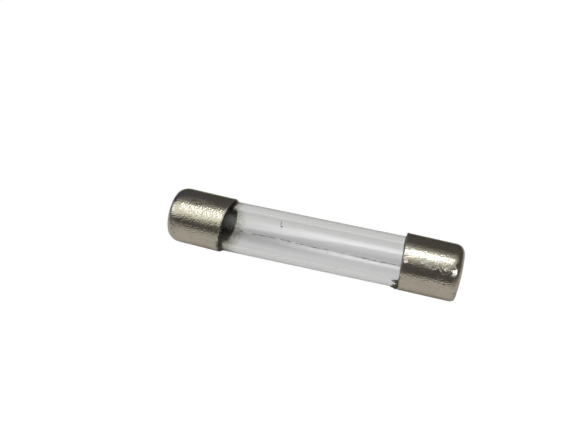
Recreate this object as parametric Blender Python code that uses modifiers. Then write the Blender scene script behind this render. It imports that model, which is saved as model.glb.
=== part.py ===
"""Glass cartridge fuse, 6.3 x 32 mm size. Metres, +Z up.

The fuse lies along X with its middle at the origin. A glass tube is closed at each end by a
drawn metal cap. Cement bonds each cap to the tube, solder fills each cap's end, and a fine
wire runs through the tube from one solder filling to the other.
"""

import math

import bmesh
import bpy
from mathutils import Vector

MM = 0.001

# Overall length, over the two caps' flat ends
LENGTH = 32.4 * MM

# Glass tube
TUBE_DIAMETER = 5.65 * MM
TUBE_BORE = 4.1 * MM
TUBE_EDGE = 0.2 * MM  # radius of its fire-polished edges, at most 0.45 of the wall

# End caps, drawn cups that taper slightly towards the closed end
CAP_LENGTH = 6.35 * MM
CAP_WALL = 0.22 * MM
CAP_CORNER = 1.2 * MM  # outer radius of the rounded shoulder
CAP_DRAFT = 0.04 * MM  # how much the radius shrinks from rim to shoulder
CAP_GLUE_GAP = 0.08 * MM  # between tube and cap wall, at the rim

# Cement that fills the gap at the cap's mouth, with a bead squeezed out of it
CEMENT_DEPTH = 2.4 * MM
BEAD_HEIGHT = 0.14 * MM

# Solder filling
SOLDER_NOSE = 1.1 * MM  # how far it reaches into the tube's bore
SOLDER_DISH = 0.35 * MM  # depth of the hollow in the nose's face

# Fuse wire, which runs a little below the axis and nearer to one side at one end
WIRE_DIAMETER = 0.08 * MM
WIRE_SAG = 0.06 * MM
WIRE_LEFT = Vector((0.0, -0.12, -0.20)) * MM
WIRE_RIGHT = Vector((0.0, -0.34, -0.36)) * MM
WIRE_GRIP = 0.6 * MM  # length of wire held in each solder filling

CLEAR = 0.012 * MM  # left between pieces that touch
SEAT = 0.03 * MM  # left between the solder and what it fills

STEPS = 48  # sides of every turned piece, so that one fits in the next
ARC_STEPS = 7
WIRE_POINTS = 24

TUBE_R = TUBE_DIAMETER / 2
BORE_R = TUBE_BORE / 2
EDGE_R = min(TUBE_EDGE, 0.45 * (TUBE_R - BORE_R))
RIM_R = TUBE_R + CAP_GLUE_GAP + CAP_WALL
SHOULDER_R = RIM_R - CAP_DRAFT
TUBE_END = LENGTH / 2 - CAP_CORNER  # the tube's ends stand where the shoulders start
RIM_X = LENGTH / 2 - CAP_LENGTH
SIDES = {"left": -1, "right": 1}


def clear_scene():
    for obj in list(bpy.data.objects):
        bpy.data.objects.remove(obj, do_unlink=True)


def new_collection(name):
    collection = bpy.data.collections.new(name)
    bpy.context.scene.collection.children.link(collection)
    return collection


def principled(name, color, roughness, metallic, transmission=0.0):
    material = bpy.data.materials.new(name)
    material.use_nodes = True
    shader = material.node_tree.nodes["Principled BSDF"]
    shader.inputs["Base Color"].default_value = (*color, 1.0)
    shader.inputs["Roughness"].default_value = roughness
    shader.inputs["Metallic"].default_value = metallic
    shader.inputs["Transmission Weight"].default_value = transmission
    material.diffuse_color = (*color, 1.0)
    return material


def arc(center, radius, start, end, steps=ARC_STEPS):
    """Points (r, z) on a circle, from one angle to another in degrees."""
    points = []
    for step in range(steps + 1):
        angle = math.radians(start + (end - start) * step / steps)
        points.append((center[0] + radius * math.cos(angle), center[1] + radius * math.sin(angle)))
    return points


def turned(name, profile, closed, material, collection):
    """A piece turned about its own Z axis from (r, z) points that run down its outer side."""
    mesh = bpy.data.meshes.new(name)
    shape = bmesh.new()
    verts = [shape.verts.new((r, 0.0, z)) for r, z in profile]
    ends = verts[1:] + verts[:1] if closed else verts[1:]
    for first, second in zip(verts, ends):
        shape.edges.new((first, second))
    shape.to_mesh(mesh)
    shape.free()
    mesh.materials.append(material)
    obj = bpy.data.objects.new(name, mesh)
    collection.objects.link(obj)
    screw = obj.modifiers.new("turn", "SCREW")
    screw.axis = "Z"
    screw.angle = 2 * math.pi
    screw.steps = screw.render_steps = STEPS
    screw.use_merge_vertices = True
    screw.merge_threshold = 1e-7
    screw.use_smooth_shade = True
    return obj


def lay_along_x(obj, side):
    """Turns a piece made about Z so that its +Z points to this end of the fuse."""
    obj.rotation_euler = (0.0, side * math.pi / 2, 0.0)


def cap_wall_r(depth):
    """Inner radius of the cap's wall, at this depth from the rim."""
    return RIM_R - CAP_WALL - CAP_DRAFT * depth / (CAP_LENGTH - CAP_CORNER)


def cap_profile():
    """Closed end at +Z and rim at the bottom, at z = RIM_X. The rim's edge is rounded."""
    top = LENGTH / 2
    shoulder_z = top - CAP_CORNER
    lip = CAP_WALL / 2
    outer = [(0.0, top)] + arc((SHOULDER_R - CAP_CORNER, shoulder_z), CAP_CORNER, 90, 0)
    rim = arc((RIM_R - lip, RIM_X + lip), lip, 0, -180)
    inner = arc((SHOULDER_R - CAP_CORNER, shoulder_z), CAP_CORNER - CAP_WALL, 0, 90)
    return outer + rim + inner + [(0.0, top - CAP_WALL)]


def make_cap(side_name, material, collection):
    obj = turned(f"{side_name}_end_cap", cap_profile(), False, material, collection)
    lay_along_x(obj, SIDES[side_name])


def make_tube(material, collection):
    """A ring section, closed on itself, with every edge rounded."""
    outer_r, inner_r = TUBE_R - EDGE_R, BORE_R + EDGE_R
    end = TUBE_END - EDGE_R
    profile = arc((outer_r, end), EDGE_R, 90, 0, 4) + arc((outer_r, -end), EDGE_R, 0, -90, 4)
    profile += arc((inner_r, -end), EDGE_R, -90, -180, 4) + arc((inner_r, end), EDGE_R, 180, 90, 4)
    obj = turned("glass_tube", profile, True, material, collection)
    lay_along_x(obj, SIDES["right"])


def make_cement(side_name, material, collection):
    """A thin sleeve between tube and cap, with a rounded bead outside the cap's mouth."""
    inner_r = TUBE_R + CLEAR
    deep_z = RIM_X + CEMENT_DEPTH
    mouth_z = RIM_X - CLEAR
    profile = [(cap_wall_r(CEMENT_DEPTH) - CLEAR, deep_z)]
    profile += [(cap_wall_r(0.0) - CLEAR, RIM_X + CAP_WALL / 2), (cap_wall_r(0.0) - CLEAR, mouth_z)]
    profile += arc((inner_r, mouth_z), BEAD_HEIGHT, 0, -90, 5)
    profile += [(inner_r, deep_z)]
    obj = turned(f"{side_name}_cement_ring", profile, True, material, collection)
    lay_along_x(obj, SIDES[side_name])


def solder_profile():
    """Fills the cap's end behind the tube and reaches into the bore with a dished nose."""
    top = LENGTH / 2 - CAP_WALL - SEAT
    corner = CAP_CORNER - CAP_WALL - SEAT
    center = (SHOULDER_R - CAP_CORNER, LENGTH / 2 - CAP_CORNER)
    bottom = TUBE_END + SEAT
    nose_z = TUBE_END - SOLDER_NOSE
    nose_r = BORE_R - SEAT
    low = math.degrees(math.asin(SEAT / corner))
    body = [(0.0, top)] + arc(center, corner, 90, low) + [(nose_r, bottom)]
    dish = [
        (nose_r * math.cos(angle), nose_z + SOLDER_DISH * math.sin(angle))
        for angle in (math.pi / 2 * step / ARC_STEPS for step in range(ARC_STEPS))
    ]
    return body + dish + [(0.0, nose_z + SOLDER_DISH)]


def wire_path():
    """Points from one grip to the other: a straight slope with a slight sag between the ends."""
    reach = TUBE_END - SOLDER_NOSE + SOLDER_DISH + WIRE_GRIP
    left, right = WIRE_LEFT + Vector((-reach, 0, 0)), WIRE_RIGHT + Vector((reach, 0, 0))
    points = []
    for step in range(WIRE_POINTS):
        along = step / (WIRE_POINTS - 1)
        point = left.lerp(right, along)
        point.z -= WIRE_SAG * math.sin(math.pi * along) ** 2
        points.append(point)
    return points


def tube_along(name, points, diameter, collection):
    """A round rod with filled ends through the points."""
    curve = bpy.data.curves.new(name, "CURVE")
    curve.dimensions = "3D"
    curve.bevel_depth = diameter / 2
    curve.bevel_resolution = 2
    curve.use_fill_caps = True
    spline = curve.splines.new("POLY")
    spline.points.add(len(points) - 1)
    for target, point in zip(spline.points, points):
        target.co = (*point, 1.0)
    obj = bpy.data.objects.new(name, curve)
    collection.objects.link(obj)
    return obj


def make_wire(material, collection):
    obj = tube_along("fuse_wire", wire_path(), WIRE_DIAMETER, collection)
    obj.data.materials.append(material)


def make_wire_hole(cutters):
    """A mesh along the path of the wire, wider by a clearance, which cuts its sockets."""
    path = wire_path()
    start = path[0] + (path[0] - path[1]).normalized() * SEAT
    end = path[-1] + (path[-1] - path[-2]).normalized() * SEAT
    curve = tube_along("wire_hole_guide", [start] + path[1:-1] + [end], WIRE_DIAMETER + 2 * SEAT, cutters)
    graph = bpy.context.evaluated_depsgraph_get()
    mesh = bpy.data.meshes.new_from_object(curve.evaluated_get(graph))
    shape = bmesh.new()
    shape.from_mesh(mesh)
    bmesh.ops.remove_doubles(shape, verts=shape.verts, dist=1e-8)
    bmesh.ops.recalc_face_normals(shape, faces=shape.faces)
    shape.to_mesh(mesh)
    shape.free()
    cutter = bpy.data.objects.new("wire_hole", mesh)
    cutter.matrix_world = curve.matrix_world
    cutters.objects.link(cutter)
    bpy.data.objects.remove(curve, do_unlink=True)
    cutter.hide_render = True
    cutter.display_type = "WIRE"
    return cutter


def make_solder(side_name, wire_hole, material, collection):
    obj = turned(f"{side_name}_solder", solder_profile(), False, material, collection)
    lay_along_x(obj, SIDES[side_name])
    cut = obj.modifiers.new("wire socket", "BOOLEAN")
    cut.object = wire_hole
    cut.operation = "DIFFERENCE"


def main():
    clear_scene()
    fuse = new_collection("cartridge_fuse")
    cutters = new_collection("cutters")
    cutters.hide_render = True
    glass = principled("clear_glass", (0.90, 0.92, 0.93), 0.03, 0.0, 1.0)
    nickel = principled("nickel_plate", (0.66, 0.63, 0.58), 0.28, 1.0)
    cement = principled("bond_cement", (0.36, 0.30, 0.20), 0.55, 0.0)
    solder = principled("tin_solder", (0.60, 0.60, 0.60), 0.35, 1.0)
    tinned = principled("tinned_wire", (0.42, 0.40, 0.38), 0.35, 1.0)

    make_tube(glass, fuse)
    make_wire(tinned, fuse)
    wire_hole = make_wire_hole(cutters)
    for side_name in SIDES:
        make_cap(side_name, nickel, fuse)
        make_cement(side_name, cement, fuse)
        make_solder(side_name, wire_hole, solder, fuse)


main()
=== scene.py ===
import math

import bpy
import numpy as np
from mathutils import Matrix, Vector


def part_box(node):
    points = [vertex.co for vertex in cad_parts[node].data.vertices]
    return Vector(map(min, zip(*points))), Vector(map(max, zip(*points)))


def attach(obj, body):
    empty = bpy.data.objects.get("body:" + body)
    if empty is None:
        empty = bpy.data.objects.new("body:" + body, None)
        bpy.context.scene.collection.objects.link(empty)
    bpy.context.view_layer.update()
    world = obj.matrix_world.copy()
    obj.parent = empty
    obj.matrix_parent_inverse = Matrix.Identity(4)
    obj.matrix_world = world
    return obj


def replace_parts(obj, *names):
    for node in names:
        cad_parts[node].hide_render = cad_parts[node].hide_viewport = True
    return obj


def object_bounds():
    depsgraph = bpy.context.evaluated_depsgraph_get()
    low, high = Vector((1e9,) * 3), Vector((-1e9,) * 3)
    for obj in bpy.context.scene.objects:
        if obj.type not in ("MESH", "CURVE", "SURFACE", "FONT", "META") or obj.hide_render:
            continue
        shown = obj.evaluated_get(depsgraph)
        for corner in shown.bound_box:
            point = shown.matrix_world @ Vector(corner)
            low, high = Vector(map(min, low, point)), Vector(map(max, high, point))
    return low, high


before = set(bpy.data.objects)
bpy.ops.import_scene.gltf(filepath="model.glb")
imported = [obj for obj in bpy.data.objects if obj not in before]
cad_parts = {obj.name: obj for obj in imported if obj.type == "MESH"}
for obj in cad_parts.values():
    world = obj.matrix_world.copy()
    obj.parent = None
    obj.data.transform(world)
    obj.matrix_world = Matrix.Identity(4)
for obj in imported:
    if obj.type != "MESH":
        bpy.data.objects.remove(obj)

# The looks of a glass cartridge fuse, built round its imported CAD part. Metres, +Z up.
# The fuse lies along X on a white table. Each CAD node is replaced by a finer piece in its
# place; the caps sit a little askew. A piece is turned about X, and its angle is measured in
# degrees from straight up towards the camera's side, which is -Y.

LOW_BEFORE, HIGH_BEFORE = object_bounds()

MM = 0.001
SIDES = {"left": -1, "right": 1}

# Camera, measured from the middle of the fuse
CAMERA_AZIMUTH = 11.14
CAMERA_ELEVATION = 56.25
CAMERA_DISTANCE = 93.0 * MM
CAMERA_LENS = 52.67
CAMERA_AIM = (-2.90 * MM, 2.91 * MM)  # where it looks, to the right of the fuse's middle and above

# Caps, each a little out of true. Shoulder: its length along X and its depth across, and how full
# its corner is (2 is an ellipse). Askew: a turn about the camera's direction, in degrees. Offset:
# how far it sits off the tube's axis, towards the upper side of the view. Skew: how far its rim is
# from square across the view and towards the camera, in degrees.
CAP_SEGMENTS = 320
CAP_SHAPES = {
    "left": {
        "rim_r": 3.075 * MM,
        "shoulder_r": 3.05 * MM,
        "shoulder": (1.43 * MM, 1.12 * MM, 2.0),
        "askew": -1.9,
        "offset": 0.11 * MM,
        "skew": (5.2, -2.6),
    },
    "right": {
        "rim_r": 3.14 * MM,
        "shoulder_r": 3.115 * MM,
        "shoulder": (1.27 * MM, 1.56 * MM, 2.6),
        "askew": -1.0,
        "offset": 0.065 * MM,
        "skew": (-2.3, 0.0),
    },
}
# Where a cap's corner is tighter: the middle and half width of that arc in degrees, and how full
TIGHT_CORNERS = {"right": (138, 40, 7.0)}
CAP_WALL = 0.16 * MM
RIM_LIP = 0.07 * MM
MOUTH_DEPTH = 2.6 * MM  # how far the inside of a cap runs straight, from its rim
PIVOT_X = 13.0 * MM  # where a cap's askew turn is centred, from the fuse's middle
SKEW_REACH = 3.0 * MM  # from the rim to where a cap is square again
MOUTH_GAP = 0.05 * MM  # between tube and cap, filled with cement
CEMENT_DEPTH = 2.2 * MM  # how far it reaches into the cap
# Cement outside the mouth: width and height in mm
BEADS = {"left": (0.17, 0.11), "right": (0.07, 0.06)}
CEMENT_CLEAR = 0.004 * MM  # between the cement and what it touches

# Unevenness of the caps: how many waves, their shortest and longest length, height in mm
CAP_WAVES = {
    "dents": (14, 2.4, 6.0, 0.0050),
    "ripple": (24, 0.8, 1.7, 0.0005),
    "grain": (60, 0.15, 0.25, 0.0036),
}
CAP_RELIEF_TOP = 0.025  # the most that a cap's outside stands off its plain shape, in mm

# Places on the surface are (x in mm, angle in degrees), and other sizes are in mm.
# Scuffs and nicks on the caps: the places of both ends, width, depth
CAP_MARKS = {
    "left": [
        ((-14.30, -7), (-13.95, -6), 0.10, 0.012),
        ((-13.60, -3), (-13.30, -4), 0.08, 0.014),
        ((-12.80, -2), (-12.30, -1), 0.09, 0.012),
        ((-12.05, -5), (-12.35, -26), 0.13, 0.014),
        ((-12.38, -28), (-12.30, -50), 0.16, 0.016),
        ((-14.25, -1), (-13.75, -3), 0.12, 0.008),
        ((-13.60, -7), (-13.05, -6), 0.12, 0.009),
        ((-13.35, 2), (-12.75, 1), 0.12, 0.008),
        ((-12.80, -5), (-12.35, -4), 0.12, 0.009),
        ((-13.90, -31), (-13.35, -34), 0.12, 0.016),
        ((-13.10, -33), (-12.75, -31), 0.10, 0.018),
    ],
    "right": [
        ((12.02, -33), (12.14, -41), 0.09, 0.026),
        ((12.30, -31), (12.46, -36), 0.08, 0.026),
        ((12.52, -39), (12.40, -46), 0.09, 0.022),
        ((12.90, -36), (13.20, -38), 0.09, 0.018),
        ((9.98, 29), (10.12, 22), 0.05, 0.022),
        ((10.16, 35), (10.36, 27), 0.05, 0.022),
    ],
}
# Dull patches: place, half length along X and across, strength
CAP_STAINS = {
    "left": [((-13.3, -2), (1.25, 0.45), 0.80), ((-13.2, 5), (0.95, 0.14), 0.45)],
    "right": [((12.3, -37), (0.45, 0.35), 0.35)],
}
# Small dark pits: place, radius, depth
CAP_PITS = {
    "left": [((-15.39, 71), 0.10, 0.030), ((-15.12, 79), 0.06, 0.015)],
    "right": [((15.85, 83), 0.10, 0.030), ((14.55, 60), 0.09, 0.025)],
}

TUBE_SEGMENTS = 256
TUBE_EDGE = 0.2 * MM  # radius of its rounded ends
MOUTH_TINT_X = (8.15, 9.25)  # darker, spotted tint on the glass by the left cap's mouth, from none to full, in mm
MOUTH_TINT_PATCHY = 1.6  # how far the tint's edge wanders, in mm
WIRE_RADIUS = 0.04 * MM
# The wire's kinks: length and height in mm
WIRE_KINKS = ((7.0, 0.022), (2.3, 0.008), (0.9, 0.004))
SOLDER_DISH = 0.35 * MM  # depth of the hollow in the solder's face
# Soft shadows on the table under the tube, which show through the glass: from, to, softness in mm
SHADOW_STREAK_Y = (1.4, 2.3, 0.7)
CAP_SHADOW_Y = (0.4, 1.7, 1.0)
CAP_SHADOW_X = (-7.5, 4.5)

# Dust on the glass: place, then length, width and thickness
SPECKS = [
    ((-3.62, 3), (0.11, 0.14, 0.05)),
    ((-3.46, 11), (0.28, 0.14, 0.06)),
    ((1.9, 47), (0.06, 0.08, 0.03)),
]
# Hairs on the glass: the places along one, half its thickness
HAIRS = [
    ([(-3.66, -5), (-3.60, 0), (-3.64, 7), (-3.50, 11)], 0.020),
    ([(3.1, 74), (3.14, 79), (3.1, 83)], 0.014),
]
FLECK_SIDES, FLECK_RINGS = 14, 9
# Residue at the right cap's mouth: place, then length, width and thickness
CRUMBS = [
    ((9.86, 76), (0.16, 0.34, 0.12)),
    ((9.84, 84), (0.22, 0.40, 0.16)),
    ((9.74, 92), (0.34, 0.44, 0.20)),
    ((9.70, 100), (0.40, 0.46, 0.24)),
    ((9.62, 109), (0.50, 0.46, 0.24)),
    ((9.66, 118), (0.50, 0.40, 0.22)),
    ((9.44, 96), (0.18, 0.26, 0.10)),
    ((9.36, 104), (0.24, 0.28, 0.12)),
    ((9.28, 113), (0.28, 0.30, 0.14)),
    ((9.16, 108), (0.10, 0.14, 0.06)),
]

COLORS = {
    "plate_warm": (0.715, 0.665, 0.595),
    "plate_pale": (0.755, 0.715, 0.65),
    "plate_speck": (0.30, 0.27, 0.21),
    "tarnish": (0.075, 0.062, 0.030),
    "glass": (0.985, 0.988, 0.988),
    "mouth_tint_dark": (0.48, 0.47, 0.39),
    "mouth_tint_pale": (0.92, 0.90, 0.80),
    "cement_black": (0.045, 0.042, 0.034),
    "cement_gray": (0.16, 0.15, 0.12),
    "cement_brown": (0.10, 0.080, 0.042),
    "cement_tan": (0.28, 0.24, 0.15),
    "solder_dull": (0.42, 0.42, 0.40),
    "solder_bright": (0.66, 0.66, 0.64),
    "wire_dull": (0.24, 0.23, 0.22),
    # bright tin for the wire's painted glints
    "wire_painted_glint": (0.93, 0.92, 0.90),
    "dust_dark": (0.045, 0.036, 0.024),
    "dust_pale": (0.20, 0.18, 0.14),
    "table": (0.80, 0.80, 0.795),
    "table_fibre": (0.83, 0.83, 0.83),
    "table_mirrored": (1.0, 0.95, 0.95),
    "table_painted_shade": (0.14, 0.135, 0.125),
    "light_dim": (1.08, 1.0, 0.93),
    "light_soft": (1.0, 1.02, 0.85),
    "light_strong": (0.97, 0.99, 0.98),
    "light_through_glass": (0.98, 0.99, 1.0),
    "light_cold": (0.86, 0.92, 1.25),
    "white": (1.0, 1.0, 1.0),
}

# Table: how bright the camera and the glass see it, and how much of its real light is mixed in
TABLE_HALF = 0.4
BURNT_GLOW, BURNT_LIT_SHARE = 1.06, 0.06
GLASS_GLOW, GLASS_GLOW_SHARE = 0.70, 0.75
# How deep the painted shadow streak and the left cap's painted shadow are
SHADOW_STREAK_DEPTH, CAP_SHADOW_DEPTH = 0.13, 0.37
# Painted shade on the table in the caps' mirror image, in mm: behind the fuse and beyond its ends
MIRROR_SHADE_BEHIND = (4.0, 16.0)
MIRROR_SHADE_ASIDE, MIRROR_SHADE_ASIDE_DEPTH = (22.0, 42.0), 0.75

# Studio. A direction is a tilt, from straight up towards the camera's side, and a side, towards
# +X, both in degrees. A band is its two ends and how soft each is. A step is where it starts and
# ends, and its value there.
LEAN_FROM = -16  # the side from which the softbox's edges lean
BACK_LEAN, BOX_FRONT_LEAN, SKIRT_FRONT_LEAN = -0.6, 0.9, 1.1  # degrees of tilt for one of side
BACK_SHIFT, BOX_FRONT_SHIFT = (-18, -6, 16, 2), (-12, -2, 0, 17.5)  # steps over side
BOX_BACK, BOX_FRONT = (-26, -14), (24, 38, 1.0, 0.0)
BOX_SIDE, BOX_LEVEL = (-78, 6, 5, 5), (-14, -3, 0.12, 3.4)
SKIRT_BACK, SKIRT_FRONT = (-54, -12), (26, 58, 1.0, 0.0)
SKIRT_SIDE, SKIRT_LEVEL = (-80, 42, 6, 34), (-17, -4, 0.70, 0.55)
WINDOW_SIDE, WINDOW_TILT, WINDOW_LEVEL = (-95, -66, 2, 7), (-110, 10, 15, 20), 0.6
FRONT_TILT, FRONT_SIDE, FRONT_LEVEL = (82, 200, 10, 2), (45, 75, 1.0, 0.25), 0.4
WALL_TILT, WALL_LEVEL = (-112, -72, 6, 8), 0.6
AMBIENT = 0.075

# Oval lamp, which only the caps and the glass mirror
LAMP_TARGET = Vector((15.4, -1.7, 2.6)) * MM
LAMP_TILT, LAMP_SIDE, LAMP_DISTANCE = 31, 35, 0.25
LAMP_HALF_ANGLES = (25, 7.5)  # along the side and the tilt, as the target sees it
LAMP_RADIANCE = 3.6


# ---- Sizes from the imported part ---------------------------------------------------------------


def node_points(node):
    return np.array([vertex.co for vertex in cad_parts[node].data.vertices])


def measure():
    """The sizes that the pieces are built to, read from the CAD nodes."""
    tube = node_points("glass_tube")
    tube_radii = np.hypot(tube[:, 1], tube[:, 2])
    low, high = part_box("right_end_cap")
    return {
        "tube_r": tube_radii.max(),
        "bore_r": tube_radii.min(),
        "tube_end": tube[:, 0].max(),
        "rim_x": low.x,
        "end_x": high.x,
        "rim_r": high.z,
        "floor_z": low.z,
        "nose_x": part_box("right_solder")[0].x,
    }


def wire_centre(x):
    """Where the CAD wire's centreline is at these places along X."""
    wire = node_points("fuse_wire")
    y = np.polyval(np.polyfit(wire[:, 0], wire[:, 1], 5), x)
    z = np.polyval(np.polyfit(wire[:, 0], wire[:, 2], 5), x)
    return np.stack([x, y, z], axis=-1)


def view_direction():
    """From the fuse to the camera."""
    azimuth, elevation = math.radians(CAMERA_AZIMUTH), math.radians(CAMERA_ELEVATION)
    level = math.cos(elevation)
    return np.array([math.sin(azimuth) * level, -math.cos(azimuth) * level, math.sin(elevation)])


# ---- Mesh helpers -----------------------------------------------------------------------------


def waves(seed, count, shortest, longest):
    """A smooth, seeded, even noise of 3-D positions, about -1 to 1, made of plane waves."""
    chance = np.random.default_rng(seed)
    direction = chance.normal(size=(count, 3))
    direction /= np.linalg.norm(direction, axis=1)[:, None]
    number = 2 * math.pi / chance.uniform(shortest, longest, count)
    phase = chance.uniform(0, 2 * math.pi, count)

    def value(points):
        flat = points.reshape(-1, 3)
        total = np.zeros(len(flat))
        for way, k, start in zip(direction, number, phase):
            total += np.sin(flat @ way * k + start)
        return (total / math.sqrt(count)).reshape(points.shape[:-1])

    return value


def arc(center, radius, start, end, steps):
    """Points (x, r) on a circle, from one angle to another in degrees."""
    angle = np.radians(np.linspace(start, end, steps + 1))
    return [(center[0] + radius * math.cos(a), center[1] + radius * math.sin(a)) for a in angle]


def shoulder_curve(center, along, across, fullness, steps):
    """Points (x, r) from the end to the side of a cap, on a more or less full quarter ellipse."""
    angle = np.linspace(0, math.pi / 2, steps + 1)
    power = 2 / fullness
    x = center[0] + along * np.cos(angle).clip(0, 1) ** power
    r = center[1] + across * np.sin(angle).clip(0, 1) ** power
    return list(zip(x.tolist(), r.tolist()))


def run(start, end, steps):
    """Points on a straight line, without its first one."""
    share = np.linspace(0, 1, steps + 1)[1:]
    return [tuple(np.array(start) * (1 - s) + np.array(end) * s) for s in share]


def mesh_object(name, points, faces, material):
    mesh = bpy.data.meshes.new(name)
    mesh.from_pydata(points.tolist(), [], faces)
    mesh.polygons.foreach_set("use_smooth", [True] * len(mesh.polygons))
    mesh.materials.append(material)
    mesh.update()
    obj = bpy.data.objects.new(name, mesh)
    bpy.context.scene.collection.objects.link(obj)
    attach(obj, "root")
    return obj


def ring_points(profile, segments, side, shift=None):
    """Rings of points about X, one for each (x, r) of the profile, moved outwards by shift."""
    profile = np.array(profile)
    along = np.gradient(profile, axis=0)
    normal = np.stack([along[:, 1], -along[:, 0]], axis=1)
    normal /= np.maximum(np.linalg.norm(normal, axis=1), 1e-12)[:, None]
    angle = np.linspace(0, 2 * math.pi, segments, endpoint=False)
    out = np.stack([np.zeros(segments), -np.sin(angle), np.cos(angle)], axis=1)
    axis = np.array([side, 0.0, 0.0])
    points = profile[:, 0, None, None] * axis + profile[:, 1, None, None] * out
    if shift is not None:
        normals = normal[:, 0, None, None] * axis + normal[:, 1, None, None] * out
        points = points + normals * shift(points)[..., None]
    return points


def ring_faces(rings, segments, side, closed=False):
    """Quads between rings. closed joins the last ring to the first one."""
    faces = []
    for i in range(rings if closed else rings - 1):
        here, there = i * segments, (i + 1) % rings * segments
        for j in range(segments):
            k = (j + 1) % segments
            quad = (here + j, there + j, there + k, here + k)
            faces.append(quad if side > 0 else quad[::-1])
    return faces


def fan(first, segments, side, pole, start):
    """Triangles from a ring to a pole, at the profile's start or at its end."""
    faces = []
    for j in range(segments):
        k = first + (j + 1) % segments
        turn = (side > 0) == start
        faces.append((pole, first + j, k) if turn else (pole, k, first + j))
    return faces


def turned(name, profile, side, material, segments, shift=None, poles=True):
    """A piece turned about X. With poles, the profile starts and ends on the axis.

    Without, its last point joins its first one.
    """
    points = ring_points(profile, segments, side, shift)
    if not poles:
        faces = ring_faces(len(points), segments, side, True)
        return mesh_object(name, points.reshape(-1, 3), faces, material)
    rings = points[1:-1]
    flat = rings.reshape(-1, 3)
    tips = np.array([points[0, 0], points[-1, 0]])
    count = len(flat)
    faces = ring_faces(len(rings), segments, side)
    faces += fan(0, segments, side, count, True)
    faces += fan(count - segments, segments, side, count + 1, False)
    return mesh_object(name, np.vstack([flat, tips]), faces, material)


def paint(obj, name, values):
    """A value for each vertex, which the piece's material reads by name."""
    layer = obj.data.attributes.new(name, "FLOAT", "POINT")
    layer.data.foreach_set("value", np.asarray(values, np.float32))


# ---- Materials --------------------------------------------------------------------------------


class Graph:
    """Adds nodes to one node tree."""

    def __init__(self, owner):
        owner.use_nodes = True
        self.tree = owner.node_tree
        self.tree.nodes.clear()

    def feed(self, socket, value):
        if isinstance(value, bpy.types.NodeSocket):
            self.tree.links.new(value, socket)
        else:
            socket.default_value = value

    def add(self, kind, inputs=None, **settings):
        node = self.tree.nodes.new(kind)
        for name, value in settings.items():
            setattr(node, name, value)
        for name, value in (inputs or {}).items():
            self.feed(node.inputs[name], value)
        return node

    def math(self, operation, *values, clamp=False):
        node = self.add("ShaderNodeMath", operation=operation, use_clamp=clamp)
        for socket, value in zip(node.inputs, values):
            self.feed(socket, value)
        return node.outputs[0]

    def step(self, value, low, high, start=0.0, end=1.0):
        """A smooth change from start to end as value goes from low to high."""
        inputs = {"Value": value, "From Min": low, "From Max": high, "To Min": start, "To Max": end}
        return self.add("ShaderNodeMapRange", inputs, interpolation_type="SMOOTHSTEP").outputs[0]

    def band(self, value, low, high, soft_low, soft_high):
        """1 between low and high, with soft edges."""
        rise = self.step(value, low - soft_low, low + soft_low)
        fall = self.step(value, high - soft_high, high + soft_high, 1.0, 0.0)
        return self.math("MULTIPLY", rise, fall)

    def mix(self, factor, first, second):
        node = self.add("ShaderNodeMix", data_type="RGBA")
        self.feed(node.inputs[0], factor)
        self.feed(node.inputs[6], first)
        self.feed(node.inputs[7], second)
        return node.outputs[2]

    def product(self, first, *others):
        for value in others:
            first = self.math("MULTIPLY", first, value)
        return first

    def blend(self, factor, first, second):
        """A mix of two shaders."""
        return self.add("ShaderNodeMixShader", {0: factor, 1: first, 2: second}).outputs[0]

    def place(self):
        return self.add("ShaderNodeTexCoord").outputs["Object"]

    def noise(self, vector, scale, detail=2.0, rough=0.5, warp=0.0):
        inputs = {"Vector": vector, "Scale": scale, "Detail": detail, "Roughness": rough}
        inputs["Distortion"] = warp
        return self.add("ShaderNodeTexNoise", inputs).outputs[0]

    def bump(self, height, distance, strength=1.0, normal=None):
        inputs = {"Height": height, "Distance": distance, "Strength": strength}
        if normal is not None:
            inputs["Normal"] = normal
        return self.add("ShaderNodeBump", inputs).outputs[0]

    def finish(self, shader, target="ShaderNodeOutputMaterial"):
        self.add(target, {"Surface": shader})


def color(name):
    return (*COLORS[name], 1.0)


def nickel_material():
    """Worn nickel plate: fine grain, cloudy gloss, dull tarnish where the mesh is painted."""
    material = bpy.data.materials.new("nickel_plate")
    g = Graph(material)
    where = g.place()
    grain = g.noise(where, 6200, 0.6, 0.6)
    cloud = g.noise(where, 700, 3.0, 0.55, 0.4)
    speck = g.noise(where, 5600, 1.0, 0.5)
    tarnish = g.add("ShaderNodeAttribute", attribute_name="tarnish").outputs["Fac"]
    plate = g.mix(g.step(cloud, 0.35, 0.7), color("plate_warm"), color("plate_pale"))
    plate = g.mix(g.step(speck, 0.56, 0.72, 0.0, 0.40), plate, color("plate_speck"))
    tone = g.mix(tarnish, plate, color("tarnish"))
    rough = g.math("ADD", g.step(grain, 0.3, 0.75, 0.07, 0.15), g.step(cloud, 0.4, 0.8, 0.0, 0.05))
    rough = g.math("ADD", rough, g.math("MULTIPLY", tarnish, 0.3))
    metal = g.math("SUBTRACT", 1.0, g.math("MULTIPLY", tarnish, 0.6))
    normal = g.bump(grain, 0.024 * MM)
    inputs = {"Base Color": tone, "Roughness": rough, "Metallic": metal, "Normal": normal}
    g.finish(g.add("ShaderNodeBsdfPrincipled", inputs).outputs[0])
    return material


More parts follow.
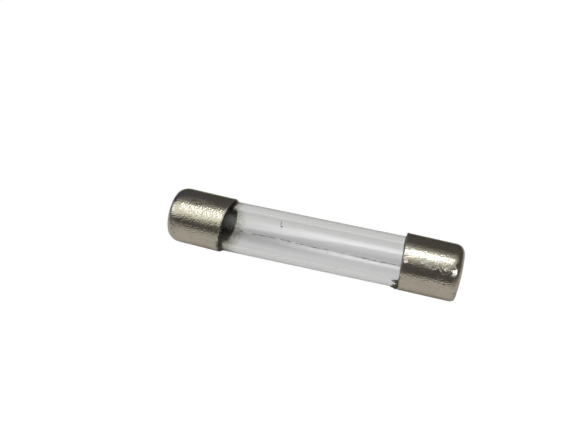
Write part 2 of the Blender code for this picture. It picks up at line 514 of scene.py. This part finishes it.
def glass_material():
    """Clear glass with a faint haze of handling marks, and a darker, spotted tint by the left cap's
    mouth.
    """
    material = bpy.data.materials.new("clear_glass")
    g = Graph(material)
    where = g.place()
    smear = g.noise(where, 260, 4.0, 0.6, 0.8)
    stretch = {0: where, 1: (0.12, 1.0, 1.0)}
    drawn = g.add("ShaderNodeVectorMath", stretch, operation="MULTIPLY").outputs[0]
    wave = g.noise(drawn, 700, 1.0, 0.4)
    rough = g.step(smear, 0.5, 0.8, 0.0, 0.05)
    x = g.add("ShaderNodeSeparateXYZ", {"Vector": where}).outputs[0]
    patchy = g.noise(where, 1900, 3.0, 0.65)
    reach = g.math("MULTIPLY_ADD", patchy, -MOUTH_TINT_PATCHY * MM, g.math("MULTIPLY", x, -1.0))
    low, high = ((edge - MOUTH_TINT_PATCHY / 2) * MM for edge in MOUTH_TINT_X)
    mouth_tint = g.step(reach, low, high)
    spots = g.step(g.noise(where, 5200, 1.0), 0.42, 0.62)
    blotch = g.mix(spots, color("mouth_tint_dark"), color("mouth_tint_pale"))
    inputs = {
        "Base Color": g.mix(mouth_tint, color("glass"), blotch),
        "Roughness": g.math("MULTIPLY_ADD", mouth_tint, 0.20, rough),
        "IOR": 1.49,
        "Specular IOR Level": 0.35,
        "Transmission Weight": 1.0,
        "Normal": g.bump(wave, 0.002 * MM),
    }
    g.finish(g.add("ShaderNodeBsdfPrincipled", inputs).outputs[0])
    return material


def cement_material():
    """Bonding cement, nearly black at the left cap and brown at the right one."""
    material = bpy.data.materials.new("bond_cement")
    g = Graph(material)
    where = g.place()
    lump = g.noise(where, 1500, 4.0, 0.65, 0.5)
    blotch = g.noise(where, 420, 2.0)
    dark = g.mix(g.step(lump, 0.35, 0.7), color("cement_black"), color("cement_gray"))
    brown = g.mix(g.step(lump, 0.3, 0.7), color("cement_brown"), color("cement_tan"))
    x = g.add("ShaderNodeSeparateXYZ", {"Vector": where}).outputs[0]
    inputs = {
        "Base Color": g.mix(g.math("GREATER_THAN", x, 0.0), dark, brown),
        "Roughness": g.step(blotch, 0.4, 0.7, 0.55, 0.3),
        "Normal": g.bump(lump, 0.06 * MM),
    }
    g.finish(g.add("ShaderNodeBsdfPrincipled", inputs).outputs[0])
    return material


def solder_material():
    material = bpy.data.materials.new("tin_solder")
    g = Graph(material)
    where = g.place()
    frost = g.noise(where, 2600, 3.0, 0.6)
    dull = g.noise(where, 500, 2.0)
    inputs = {
        "Base Color": g.mix(g.step(dull, 0.35, 0.65), color("solder_dull"), color("solder_bright")),
        "Metallic": 1.0,
        "Roughness": g.step(frost, 0.3, 0.7, 0.28, 0.5),
        "Normal": g.bump(frost, 0.03 * MM),
    }
    g.finish(g.add("ShaderNodeBsdfPrincipled", inputs).outputs[0])
    return material


def wire_material():
    material = bpy.data.materials.new("tinned_wire")
    g = Graph(material)
    where = g.place()
    # Dull tin with bright spots, which are painted glints along the wire
    spot = g.noise(where, 2400, 2.0, 0.5)
    inputs = {
        "Base Color": g.mix(g.step(spot, 0.42, 0.56), color("wire_dull"), color("wire_painted_glint")),
        "Metallic": 1.0,
        "Roughness": g.step(spot, 0.35, 0.7, 0.45, 0.25),
    }
    g.finish(g.add("ShaderNodeBsdfPrincipled", inputs).outputs[0])
    return material


def dust_material():
    material = bpy.data.materials.new("dust")
    g = Graph(material)
    tone = g.noise(g.place(), 4000, 2.0)
    inputs = {
        "Base Color": g.mix(tone, color("dust_dark"), color("dust_pale")),
        "Roughness": g.step(tone, 0.3, 0.7, 0.7, 0.95),
    }
    g.finish(g.add("ShaderNodeBsdfPrincipled", inputs).outputs[0])
    return material


# ---- The caps ---------------------------------------------------------------------------------


def pocket(size, gap):
    """Points (x, r) down the inside of a cap behind the tube, to its middle."""
    tube_end, tube_r = size["tube_end"], size["tube_r"]
    bottom = size["end_x"] - CAP_WALL - gap
    corners = [
        (tube_end + 0.03 * MM, tube_r + 0.012 * MM - gap),
        (tube_end + 0.50 * MM, tube_r - 0.28 * MM - gap),
        (tube_end + 0.90 * MM, tube_r - 0.75 * MM - gap),
        (bottom, tube_r - 1.25 * MM - gap),
        (bottom, 0.0),
    ]
    points = [corners[0]]
    for start, end in zip(corners, corners[1:]):
        points += run(start, end, 4)
    return points


def cap_profile(size, shape):
    """From the middle of the closed end over the shoulder to the rim, then back inside.

    Also tells which of its points are on the outside.
    """
    end_x, rim_x = size["end_x"], size["rim_x"]
    along, across, fullness = shape["shoulder"]
    rim_r, shoulder_r = shape["rim_r"], shape["shoulder_r"]
    shoulder_x = end_x - along
    inner_r = size["tube_r"] + MOUTH_GAP
    lip = RIM_LIP
    profile = [(end_x, 0.0)] + run((end_x, 0.0), (end_x, shoulder_r - across), 12)
    profile += shoulder_curve((shoulder_x, shoulder_r - across), along, across, fullness, 40)[1:]
    profile += run((shoulder_x, shoulder_r), (rim_x + lip, rim_r), 84)
    profile += arc((rim_x + lip, rim_r - lip), lip, 90, 180, 6)[1:]
    outside = len(profile)
    profile += arc((rim_x + lip, inner_r + lip), lip, 180, 270, 4)
    behind = pocket(size, 0.0)
    straight_end = (rim_x + MOUTH_DEPTH, behind[0][1])
    profile += run((rim_x + lip, inner_r), straight_end, 6)
    profile += run(straight_end, behind[0], 6) + behind[1:]
    return profile, np.arange(len(profile)) < outside


def tight_corner(points, side_name, size):
    """Fills out the corner over part of its length, where that cap is less rounded."""
    middle, half, fullness = TIGHT_CORNERS[side_name]
    shape = CAP_SHAPES[side_name]
    tight = dict(shape, shoulder=(*shape["shoulder"][:2], fullness))
    plain = np.array(cap_profile(size, shape)[0])
    change = (np.array(cap_profile(size, tight)[0]) - plain)[1:-1]
    angle = np.linspace(0, 360, CAP_SEGMENTS, endpoint=False)
    turn = np.radians(angle)
    out = np.stack([np.zeros(CAP_SEGMENTS), -np.sin(turn), np.cos(turn)], axis=1)
    amount = np.cos(np.clip(np.abs(angle - middle) / half, 0, 1) * math.pi) * 0.5 + 0.5
    axis = np.array([SIDES[side_name], 0.0, 0.0])
    rings = change[:, 0, None, None] * axis + change[:, 1, None, None] * out
    points[:-2] += (rings * amount[:, None]).reshape(-1, 3)
    return points


def across_view():
    """The direction across the fuse towards the upper side of the view."""
    across = np.cross(view_direction(), [1.0, 0.0, 0.0])
    return across / np.linalg.norm(across)


def out_of_square(points, side, size, shape):
    """Shifts a cap's rim, and what fills it, along X, so that it is not quite square."""
    fade = np.clip(1 - (points[:, 0] * side - size["rim_x"]) / SKEW_REACH, 0, 1)
    slopes = np.tan(np.radians(shape["skew"]))
    shift = (points @ across_view() * slopes[0] + points @ view_direction() * slopes[1]) * fade
    return points + shift[:, None] * np.array([1.0, 0.0, 0.0])


def set_askew(points, side, shape):
    """Tips and shifts the cap's outside as it sits on the tube."""
    turn = Matrix.Rotation(math.radians(shape["askew"]), 3, Vector(view_direction()))
    pivot = np.array([side * PIVOT_X, 0.0, 0.0])
    return (points - pivot) @ np.array(turn).T + pivot + across_view() * shape["offset"]


def unrolled(points, radius):
    """Places on a cap's outside as (x, arc length from straight up), in mm."""
    angle = np.arctan2(-points[..., 1], points[..., 2])
    return np.stack([points[..., 0], angle * radius], axis=-1) / MM


def mark_place(place, radius):
    return np.array([place[0], math.radians(place[1]) * radius / MM])


def stroke(flat, start, end, width):
    """0 to 1 along a stroke, and a lip of pushed-up metal beside it."""
    way = end - start
    share = np.clip(((flat - start) @ way) / (way @ way), 0, 1)
    gap = np.linalg.norm(flat - start - share[..., None] * way, axis=-1) / width
    return np.exp(-gap * gap), np.exp(-((gap - 1.7) ** 2) * 2.5)


def cap_relief(side_name, size, seed):
    """Functions for how far a cap's outside stands off its plain shape, and for its tarnish."""
    side = SIDES[side_name]
    radius = size["rim_r"]
    uneven = []
    for i, (count, shortest, longest, rise) in enumerate(CAP_WAVES.values()):
        uneven.append((waves(seed + i, count, shortest * MM, longest * MM), rise))
    rim_wear = waves(seed + 3, 10, 0.7 * MM, 2.0 * MM)
    blotch = waves(seed + 4, 20, 0.35 * MM, 1.2 * MM)
    fleck_wear = waves(seed + 5, 30, 0.22 * MM, 0.5 * MM)

    def relief(points):
        flat = unrolled(points, radius)
        height = sum(wave(points) * rise for wave, rise in uneven)
        for start, end, width, depth in CAP_MARKS[side_name]:
            dip, lip = stroke(flat, mark_place(start, radius), mark_place(end, radius), width)
            height += depth * (0.4 * lip - dip)
        for place, width, depth in CAP_PITS[side_name]:
            gap = np.linalg.norm(flat - mark_place(place, radius), axis=-1) / width
            height -= depth * np.exp(-gap * gap)
        from_rim = (points[..., 0] * side - size["rim_x"]) / MM
        height += 0.012 * np.exp(-((from_rim - 0.12) / 0.14) ** 2) * (0.5 + 0.5 * rim_wear(points))
        return np.minimum(height, CAP_RELIEF_TOP) * MM

    def tarnish(points):
        flat = unrolled(points, radius)
        from_rim = (points[..., 0] * side - size["rim_x"]) / MM
        patchy = np.clip(0.7 + 0.5 * blotch(points), 0, 1)
        value = 0.75 * np.exp(-np.maximum(from_rim, 0) / 0.10) * patchy
        for place, width, _depth in CAP_PITS[side_name]:
            gap = np.linalg.norm(flat - mark_place(place, radius), axis=-1) / width
            value = value + 0.95 * np.exp(-(gap**4))
        for place, spread, amount in CAP_STAINS[side_name]:
            gap = np.linalg.norm((flat - mark_place(place, radius)) / np.array(spread), axis=-1)
            worn = np.clip(0.85 + 0.3 * fleck_wear(points), 0, 1)
            value = value + amount * np.exp(-(gap**2)) * worn
        return np.clip(value, 0, 1)

    return relief, tarnish


def make_cap(side_name, size, material):
    side = SIDES[side_name]
    relief, tarnish = cap_relief(side_name, size, 11 if side < 0 else 31)
    profile, outside = cap_profile(size, CAP_SHAPES[side_name])

    def shift(points):
        return relief(points) * outside[:, None]

    name = f"{side_name}_cap_shell"
    obj = turned(name, profile, side, material, CAP_SEGMENTS, shift)
    points = np.array([vertex.co for vertex in obj.data.vertices])
    paint(obj, "tarnish", tarnish(points))
    shape = CAP_SHAPES[side_name]
    if side_name in TIGHT_CORNERS:
        points = tight_corner(points, side_name, size)
    points = out_of_square(points, side, size, shape)
    on_outside = np.append(np.repeat(outside[1:-1], CAP_SEGMENTS), [True, False])
    points[on_outside] = set_askew(points[on_outside], side, shape)
    obj.data.vertices.foreach_set("co", points.astype(np.float32).ravel())
    obj.data.update()
    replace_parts(obj, f"{side_name}_end_cap")
    return obj


# ---- Tube, cement, solder, wire ---------------------------------------------------------------


def make_tube(size, material):
    """Drawn glass: a closed ring section with rounded ends, very slightly uneven inside."""
    outer, inner, end = size["tube_r"], size["bore_r"], size["tube_end"]
    edge = TUBE_EDGE
    profile = run((end - edge, outer), (-end + edge, outer), 90)
    profile += arc((-end + edge, outer - edge), edge, 90, 180, 8)[1:]
    profile += arc((-end + edge, inner + edge), edge, 180, 270, 8)
    profile += run((-end + edge, inner), (end - edge, inner), 90)
    profile += arc((end - edge, inner + edge), edge, -90, 0, 8)[1:]
    profile += arc((end - edge, outer - edge), edge, 0, 90, 8)
    slow = waves(71, 10, 3.0 * MM, 9.0 * MM)

    def shift(points):
        stretched = points * np.array([0.25, 1.0, 1.0])
        inside = np.hypot(points[..., 1], points[..., 2]) < (outer + inner) / 2
        return slow(stretched) * np.where(inside, 0.006, 0.002) * MM

    obj = turned("glass_tube_fine", profile, 1, material, TUBE_SEGMENTS, shift, poles=False)
    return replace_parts(obj, "glass_tube")


def make_cement(side_name, size, material):
    """A sleeve between tube and cap, with an uneven bead squeezed out of the mouth."""
    side = SIDES[side_name]
    inner = size["tube_r"] + CEMENT_CLEAR
    outer = size["tube_r"] + MOUTH_GAP - CEMENT_CLEAR
    width, height = (value * MM for value in BEADS[side_name])
    rim_x = size["rim_x"] - CEMENT_CLEAR
    deep = rim_x + CEMENT_DEPTH
    profile = run((deep, outer - 0.02 * MM), (rim_x + 0.1 * MM, outer), 24) + [(rim_x, outer)]
    turn = np.linspace(0, math.pi / 2, 12)
    profile += [(rim_x - width * math.sin(a), inner + height * math.cos(a)) for a in turn]
    profile += run((rim_x - width, inner), (deep, inner), 24)
    uneven = waves(91 + side, 24, 0.18 * MM, 0.8 * MM)

    def shift(points):
        raised = np.hypot(points[..., 1], points[..., 2]) > inner + 0.002 * MM
        outside = raised & (points[..., 0] * side < rim_x - 0.001 * MM)
        sunk = -0.45 * height * np.clip(0.8 + 1.2 * uneven(points), 0, 2.0)
        return np.where(outside, sunk, 0.0)

    name = f"{side_name}_cement_bead"
    obj = turned(name, profile, side, material, 224, shift, poles=False)
    points = np.array([vertex.co for vertex in obj.data.vertices])
    points = out_of_square(points, side, size, CAP_SHAPES[side_name])
    obj.data.vertices.foreach_set("co", points.astype(np.float32).ravel())
    obj.data.update()
    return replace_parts(obj, f"{side_name}_cement_ring")


def make_solder(side_name, size, material):
    """Solder behind the tube, with a dished and wavy face in the bore."""
    side = SIDES[side_name]
    bore = size["bore_r"] - 0.03 * MM
    shelf = size["tube_end"] + 0.03 * MM
    nose = size["nose_x"]
    profile = pocket(size, 0.02 * MM)[::-1]
    profile += run(profile[-1], (shelf, bore), 6) + run((shelf, bore), (nose + 0.1 * MM, bore), 8)
    share = np.linspace(0, 1, 24)
    turn = share * math.pi / 2
    dish = [(nose + SOLDER_DISH * math.sin(a), bore * math.cos(a)) for a in turn]
    profile += dish[:-1] + [(nose + SOLDER_DISH, 0.0)]
    wavy = waves(55 + side, 14, 0.9 * MM, 2.4 * MM)

    def shift(points):
        face = points[..., 0] * side < size["tube_end"] - 0.6 * MM
        room = np.clip((bore - np.hypot(points[..., 1], points[..., 2])) / (0.5 * MM), 0, 1)
        return wavy(points) * 0.05 * MM * face * room

    name = f"{side_name}_solder_fill"
    obj = turned(name, profile, side, material, 128, shift)
    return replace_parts(obj, f"{side_name}_solder")


def swept(name, path, radius, sides, material):
    """A round rod along a path, with radius given for each of its points."""
    along = np.gradient(path, axis=0)
    along /= np.linalg.norm(along, axis=1)[:, None]
    across = np.cross(along, [0.0, 0.0, 1.0])
    across /= np.linalg.norm(across, axis=1)[:, None]
    up = np.cross(across, along)
    angle = np.linspace(0, 2 * math.pi, sides, endpoint=False)
    cosine, sine = np.cos(angle)[None, :, None], np.sin(angle)[None, :, None]
    ring = cosine * across[:, None, :] + sine * up[:, None, :]
    points = path[:, None, :] + ring * np.asarray(radius)[:, None, None]
    flat = points.reshape(-1, 3)
    faces = ring_faces(len(path), sides, -1)
    last = len(flat) - sides
    faces += [tuple(range(sides))[::-1], tuple(last + j for j in range(sides))]
    return mesh_object(name, flat, faces, material)


def make_wire(size, material):
    """The wire on the CAD's path, with small kinks and an uneven thickness."""
    low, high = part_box("fuse_wire")
    x = np.linspace(low.x, high.x, 700)
    path = wire_centre(x)
    chance = np.random.default_rng(5)
    free = np.clip((size["nose_x"] - np.abs(x)) / (2.0 * MM), 0, 1)
    for length, height in WIRE_KINKS:
        start = chance.uniform(0, 2 * math.pi, 2)
        path[:, 1] += height * MM * free * np.sin(2 * math.pi * x / (length * MM) + start[0])
        path[:, 2] += height * MM * free * np.sin(2 * math.pi * x / (length * 1.13 * MM) + start[1])
    radius = WIRE_RADIUS * (1 + 0.07 * np.sin(2 * math.pi * x / (0.7 * MM)))
    obj = swept("wire_fine", path, radius, 12, material)
    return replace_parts(obj, "fuse_wire")


def fleck(name, place, radius, size_mm, seed, material):
    """A crumb of dust on the tube: a lumpy ball pressed flat against the glass."""
    x, angle = place[0] * MM, math.radians(place[1])
    out = np.array([0.0, -math.sin(angle), math.cos(angle)])
    along = np.array([1.0, 0.0, 0.0])
    around = np.cross(out, along)
    turn = np.linspace(0, 2 * math.pi, FLECK_SIDES, endpoint=False)
    rise = np.radians(np.linspace(-84, 84, FLECK_RINGS))
    lumps = waves(seed, 8, 0.05 * MM, 0.12 * MM)
    long, wide, thick = (value * MM for value in size_mm)
    local = np.stack(
        [
            np.cos(rise)[:, None] * np.cos(turn) * long / 2,
            np.cos(rise)[:, None] * np.sin(turn) * wide / 2,
            np.sin(rise)[:, None] * np.ones(FLECK_SIDES) * thick / 2,
        ],
        axis=-1,
    )
    local *= 1 + 0.3 * lumps(local)[..., None]
    points = x * along + out * (radius + thick * 0.3)
    points = points + local @ np.stack([along, around, out])
    flat = points.reshape(-1, 3)
    last = len(flat) - FLECK_SIDES
    faces = ring_faces(FLECK_RINGS, FLECK_SIDES, 1)
    faces += [tuple(range(FLECK_SIDES)), tuple(range(len(flat) - 1, last - 1, -1))]
    return mesh_object(name, flat, faces, material)


def hair(name, places, radius, thickness, material):
    """A fine curved hair lying on the tube, through these (x, angle) places."""
    knots = np.array(places, float)
    share = np.linspace(0, 1, len(knots))
    fine = np.linspace(0, 1, 24)
    x = np.interp(fine, share, knots[:, 0]) * MM
    angle = np.radians(np.interp(fine, share, knots[:, 1]))
    path = np.stack([x, -np.sin(angle) * radius, np.cos(angle) * radius], axis=1)
    taper = thickness * MM * (0.4 + 0.6 * np.sin(math.pi * fine))
    return swept(name, path, taper, 8, material)


def make_dust(size, dust, cement):
    """Specks and hairs on the glass, and crumbs of brown residue at the right cap's mouth."""
    tube_r = size["tube_r"]
    for i, (place, spread) in enumerate(SPECKS):
        fleck(f"dust_speck_{i}", place, tube_r, spread, 200 + i, dust)
    for i, (places, thickness) in enumerate(HAIRS):
        hair(f"dust_hair_{i}", places, tube_r + thickness * MM, thickness, dust)
    for i, (place, spread) in enumerate(CRUMBS):
        fleck(f"residue_crumb_{i}", place, tube_r, spread, 300 + i, cement)


# ---- Table, light, camera ---------------------------------------------------------------------


def glass_glow_and_painted_shadows(g, x, y):
    """How bright the glass sees the table: an even glow, with a painted shadow streak and the left
    cap's painted shadow.
    """
    # painted shadow streak where the tube would shade the table
    low, high, soft = (value * MM for value in SHADOW_STREAK_Y)
    streak = g.math("MULTIPLY", g.band(y, low, high, soft, soft), SHADOW_STREAK_DEPTH)
    low, high, soft = (value * MM for value in CAP_SHADOW_Y)
    start, end = (value * MM for value in CAP_SHADOW_X)
    near_cap = g.step(x, start, end, CAP_SHADOW_DEPTH, 0.0)
    shadow = g.math("MULTIPLY", g.band(y, low, high, soft, soft), near_cap)
    return g.math("SUBTRACT", GLASS_GLOW, g.math("ADD", streak, shadow))


def table_color(g, x, y, mirrored):
    """White paper. The caps see it pinker, with painted shade behind the fuse and beyond its ends."""
    behind = g.step(y, MIRROR_SHADE_BEHIND[0] * MM, MIRROR_SHADE_BEHIND[1] * MM)
    far = g.math("ABSOLUTE", x)
    aside = g.step(far, MIRROR_SHADE_ASIDE[0] * MM, MIRROR_SHADE_ASIDE[1] * MM, 0.0, MIRROR_SHADE_ASIDE_DEPTH)
    # painted shade, only in what the caps mirror
    dim = g.math("MULTIPLY", g.math("MAXIMUM", behind, aside), mirrored)
    fibre = g.noise(g.place(), 900, 3.0)
    white = g.mix(fibre, color("table"), color("table_fibre"))
    white = g.mix(mirrored, white, color("table_mirrored"))
    return g.mix(dim, white, color("table_painted_shade"))


def make_floor(z):
    """A white table, lit by the studio. The camera sees it nearly burnt out."""
    material = bpy.data.materials.new("white_table")
    material.cycles.emission_sampling = "NONE"
    g = Graph(material)
    path = g.add("ShaderNodeLightPath").outputs
    x, y, _z = g.add("ShaderNodeSeparateXYZ", {"Vector": g.place()}).outputs
    through_glass = path["Is Transmission Ray"]
    mirrored = g.math("SUBTRACT", path["Is Glossy Ray"], through_glass, clamp=True)
    lit = g.add("ShaderNodeBsdfDiffuse", {"Color": table_color(g, x, y, mirrored)}).outputs[0]
    # the glass sees the table as a glow with painted shadows in it
    even = {"Color": color("white"), "Strength": glass_glow_and_painted_shadows(g, x, y)}
    even = g.add("ShaderNodeEmission", even).outputs[0]
    burnt = {"Color": color("white"), "Strength": BURNT_GLOW}
    burnt = g.add("ShaderNodeEmission", burnt).outputs[0]
    share = g.math("MULTIPLY", through_glass, GLASS_GLOW_SHARE)
    by_object = g.blend(share, lit, even)
    by_camera = g.blend(BURNT_LIT_SHARE, burnt, lit)
    g.finish(g.blend(path["Is Camera Ray"], by_object, by_camera))
    half = TABLE_HALF
    mesh = bpy.data.meshes.new("table")
    corners = [(-half, -half, z), (half, -half, z), (half, half, z), (-half, half, z)]
    mesh.from_pydata(corners, [], [(0, 1, 2, 3)])
    mesh.materials.append(material)
    obj = bpy.data.objects.new("table", mesh)
    bpy.context.scene.collection.objects.link(obj)


def studio_level(g, tilt, side, through_glass):
    """A long softbox overhead and to the left with a soft skirt, and smaller lights round it.

    These are a window at the left, a pale front, and a wall behind that only the glass sees.
    """
    left = g.math("MINIMUM", g.math("SUBTRACT", side, LEAN_FROM), 0.0)
    right = g.math("MAXIMUM", g.math("SUBTRACT", side, LEAN_FROM), 0.0)
    back_tilt = g.math("MULTIPLY_ADD", left, BACK_LEAN, tilt)
    back_tilt = g.math("SUBTRACT", back_tilt, g.step(side, *BACK_SHIFT))
    front_tilt = g.math("MULTIPLY_ADD", right, BOX_FRONT_LEAN, tilt)
    front_tilt = g.math("ADD", front_tilt, g.step(side, *BOX_FRONT_SHIFT))
    near_tilt = g.math("MULTIPLY_ADD", right, SKIRT_FRONT_LEAN, tilt)
    box = g.product(
        g.step(back_tilt, *BOX_BACK),
        g.step(front_tilt, *BOX_FRONT),
        g.band(side, *BOX_SIDE),
        g.step(side, *BOX_LEVEL),
    )
    skirt = g.product(
        g.step(back_tilt, *SKIRT_BACK),
        g.step(near_tilt, *SKIRT_FRONT),
        g.band(side, *SKIRT_SIDE),
        g.step(side, *SKIRT_LEVEL),
    )
    window = g.product(g.band(side, *WINDOW_SIDE), g.band(tilt, *WINDOW_TILT), WINDOW_LEVEL)
    aside = g.step(g.math("ABSOLUTE", side), *FRONT_SIDE)
    front = g.product(g.band(tilt, *FRONT_TILT), aside, FRONT_LEVEL)
    wall = g.product(g.band(tilt, *WALL_TILT), through_glass, WALL_LEVEL)
    level = AMBIENT
    for part in (box, skirt, window, front, wall):
        level = g.math("ADD", part, level)
    return level


def studio_tint(g, level, tilt, side, through_glass):
    """The light's colour: warm where dim, greener where soft, cold far behind the left cap."""
    tint = g.mix(g.step(level, 0.15, 0.4), color("light_dim"), color("light_soft"))
    tint = g.mix(g.step(level, 0.8, 1.6), tint, color("light_strong"))
    tint = g.mix(through_glass, tint, color("light_through_glass"))
    cold = g.math("MULTIPLY", g.step(side, -24, -8, 1.0, 0.0), g.step(tilt, -68, -48, 1.0, 0.0))
    return g.mix(cold, tint, color("light_cold"))


def make_world():
    """The studio that lights the fuse, and a plain pale backdrop for the camera."""
    world = bpy.data.worlds.new("studio")
    bpy.context.scene.world = world
    g = Graph(world)
    ray = g.add("ShaderNodeTexCoord").outputs["Generated"]
    x, y, z = g.add("ShaderNodeSeparateXYZ", {"Vector": ray}).outputs
    degrees = 180 / math.pi
    tilt = g.math("MULTIPLY", g.math("ARCTAN2", g.math("MULTIPLY", y, -1.0), z), degrees)
    side = g.math("MULTIPLY", g.math("ARCSINE", x), degrees)
    path = g.add("ShaderNodeLightPath").outputs
    through_glass = path["Is Transmission Ray"]
    level = studio_level(g, tilt, side, through_glass)
    tint = studio_tint(g, level, tilt, side, through_glass)
    light = g.add("ShaderNodeBackground", {"Color": tint, "Strength": level}).outputs[0]
    pale = {"Color": color("white"), "Strength": 1.0}
    pale = g.add("ShaderNodeBackground", pale).outputs[0]
    g.finish(g.blend(path["Is Camera Ray"], light, pale), "ShaderNodeOutputWorld")


def direction(tilt, side):
    """The unit vector of a studio direction, in degrees."""
    tilt, side = math.radians(tilt), math.radians(side)
    return Vector((math.sin(side), -math.sin(tilt) * math.cos(side), math.cos(tilt) * math.cos(side)))


def make_lamp():
    """An oval lamp that makes the round spot on the right cap's shoulder."""
    lamp = bpy.data.lights.new("round_lamp", "AREA")
    lamp.shape = "ELLIPSE"
    wide, high = (LAMP_DISTANCE * math.tan(math.radians(angle)) for angle in LAMP_HALF_ANGLES)
    lamp.size, lamp.size_y = 2 * wide, 2 * high
    lamp.energy = LAMP_RADIANCE * math.pi * math.pi * wide * high
    obj = bpy.data.objects.new("round_lamp", lamp)
    bpy.context.scene.collection.objects.link(obj)
    way = direction(LAMP_TILT, LAMP_SIDE)
    before, after = direction(LAMP_TILT, LAMP_SIDE - 1), direction(LAMP_TILT, LAMP_SIDE + 1)
    sideways = (after - before).normalized()
    axes = Matrix((sideways, way.cross(sideways), way)).transposed()
    obj.location = LAMP_TARGET + way * LAMP_DISTANCE
    obj.rotation_euler = axes.to_euler()
    obj.visible_camera = obj.visible_diffuse = False


def make_camera(middle):
    azimuth = math.radians(CAMERA_AZIMUTH)
    back = Vector(view_direction())
    right = Vector((math.cos(azimuth), math.sin(azimuth), 0.0))
    up = back.cross(right)
    camera = bpy.data.cameras.new("camera")
    camera.sensor_width = 36.0
    camera.lens = CAMERA_LENS
    camera.clip_start = 2 * MM
    camera.clip_end = 10.0
    obj = bpy.data.objects.new("camera", camera)
    bpy.context.scene.collection.objects.link(obj)
    obj.location = middle + back * CAMERA_DISTANCE
    aim = middle + right * CAMERA_AIM[0] + up * CAMERA_AIM[1]
    obj.rotation_euler = (aim - obj.location).to_track_quat("-Z", "Y").to_euler()
    bpy.context.scene.camera = obj


def main():
    size = measure()
    nickel, glass, cement = nickel_material(), glass_material(), cement_material()
    solder, wire, dust = solder_material(), wire_material(), dust_material()
    for side_name in SIDES:
        make_cap(side_name, size, nickel)
        make_cement(side_name, size, cement)
        make_solder(side_name, size, solder)
    make_tube(size, glass)
    make_wire(size, wire)
    make_dust(size, dust, cement)
    make_floor(size["floor_z"])
    make_world()
    middle = (LOW_BEFORE + HIGH_BEFORE) / 2
    make_lamp()
    make_camera(middle)
    bpy.context.scene.view_settings.view_transform = "Standard"


main()
